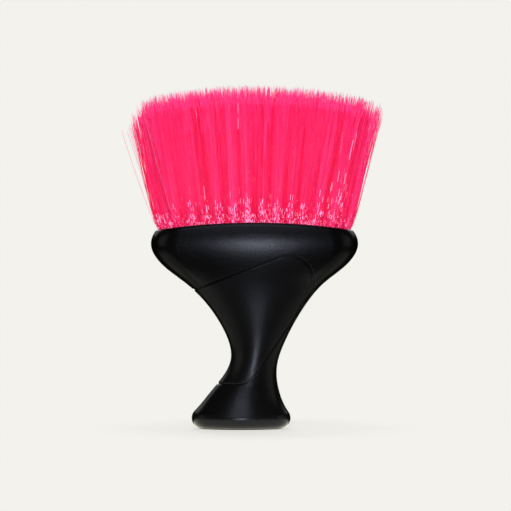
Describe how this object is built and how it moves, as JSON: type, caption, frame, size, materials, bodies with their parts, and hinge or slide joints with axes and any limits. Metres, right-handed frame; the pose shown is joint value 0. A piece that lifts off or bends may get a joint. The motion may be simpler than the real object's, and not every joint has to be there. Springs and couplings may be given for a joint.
{
  "type": "neck duster brush",
  "caption": "Fan-shaped barber's neck duster: long soft bristles in an arched head over a waisted handle with a moulded soft grip and a flared standing foot.",
  "frame": {"origin": "on the resting plane under the middle of the head, at the middle of the front-to-back depth", "axes": "+Z from the foot to the bristle tips, +X across the broad face, -Y is the front that carries the blank badge"},
  "size_m": [0.1206, 0.0378, 0.1705],
  "materials": {
    "handle_plastic": "satin moulded",
    "grip_rubber": "soft matt",
    "block_plastic": "plain moulded",
    "nylon": "glossy filaments",
    "anchor_steel": "drawn wire"
  },
  "bodies": {
    "handle": {"handle_body": "handle_plastic", "soft_grip": "grip_rubber", "foot_plug": "handle_plastic", "tuft_block": "block_plastic", "tuft_roots_1": "nylon", "tuft_roots_2": "nylon", "tuft_roots_3": "nylon", "tuft_roots_4": "nylon", "tuft_roots_5": "nylon", "anchor_wires_1": "anchor_steel", "anchor_wires_2": "anchor_steel", "anchor_wires_3": "anchor_steel", "anchor_wires_4": "anchor_steel", "anchor_wires_5": "anchor_steel"},
    "row_1": {"tuft_row_1": "nylon"},
    "row_2": {"tuft_row_2": "nylon"},
    "row_3": {"tuft_row_3": "nylon"},
    "row_4": {"tuft_row_4": "nylon"},
    "row_5": {"tuft_row_5": "nylon"}
  },
  "joints": [
    {"name": "bristle_sweep", "type": "hinge", "parent": "handle", "child": "row_3", "pos_m": [0, 0, 0.103], "axis": [1, 0, 0], "range_deg": [-35, 35], "stiffness_Nm_per_rad": 0.04},
    {"name": "row_1_sweep", "type": "hinge", "parent": "handle", "child": "row_1", "pos_m": [0, -0.0096, 0.103], "axis": [1, 0, 0], "range_deg": [-35, 35], "stiffness_Nm_per_rad": 0.04},
    {"name": "row_2_sweep", "type": "hinge", "parent": "handle", "child": "row_2", "pos_m": [0, -0.0048, 0.103], "axis": [1, 0, 0], "range_deg": [-35, 35], "stiffness_Nm_per_rad": 0.04},
    {"name": "row_4_sweep", "type": "hinge", "parent": "handle", "child": "row_4", "pos_m": [0, 0.0048, 0.103], "axis": [1, 0, 0], "range_deg": [-35, 35], "stiffness_Nm_per_rad": 0.04},
    {"name": "row_5_sweep", "type": "hinge", "parent": "handle", "child": "row_5", "pos_m": [0, 0.0096, 0.103], "axis": [1, 0, 0], "range_deg": [-35, 35], "stiffness_Nm_per_rad": 0.04}
  ],
  "couplings": [
    {"joint": "row_1_sweep", "follows": "bristle_sweep", "ratio": 1},
    {"joint": "row_2_sweep", "follows": "bristle_sweep", "ratio": 1},
    {"joint": "row_4_sweep", "follows": "bristle_sweep", "ratio": 1},
    {"joint": "row_5_sweep", "follows": "bristle_sweep", "ratio": 1}
  ]
}
